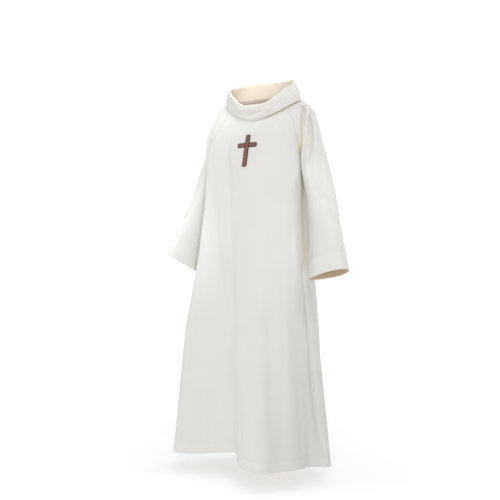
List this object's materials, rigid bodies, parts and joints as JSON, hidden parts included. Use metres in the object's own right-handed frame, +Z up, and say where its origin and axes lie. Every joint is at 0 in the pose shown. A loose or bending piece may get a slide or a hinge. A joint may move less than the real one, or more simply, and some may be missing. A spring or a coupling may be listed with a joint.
{
  "type": "alb robe",
  "caption": "Child's long ivory alb with raglan wide sleeves, a fold-over collar and a small brown cross on the chest, hollow and hanging as worn.",
  "frame": {"origin": "middle of the neck hole, at the height where the wearer's shoulders carry the robe", "axes": "+Z up, -Y the front of the robe, +X the wearer's left; Z is the longest extent"},
  "size_m": [0.5711, 0.3592, 1.1203],
  "materials": {
    "ivory_cloth": "smooth, matt, finely woven ivory polyester",
    "collar_cloth": "the same ivory cloth, double and a little warmer",
    "brown_cross": "brown applied cross with a darker corded edge"
  },
  "bodies": {
    "root": {"front_piece": "ivory_cloth", "back_piece": "ivory_cloth", "left_sleeve": "ivory_cloth", "right_sleeve": "ivory_cloth", "collar_front": "collar_cloth", "collar_back": "collar_cloth", "chest_cross": "brown_cross"}
  },
  "joints": []
}
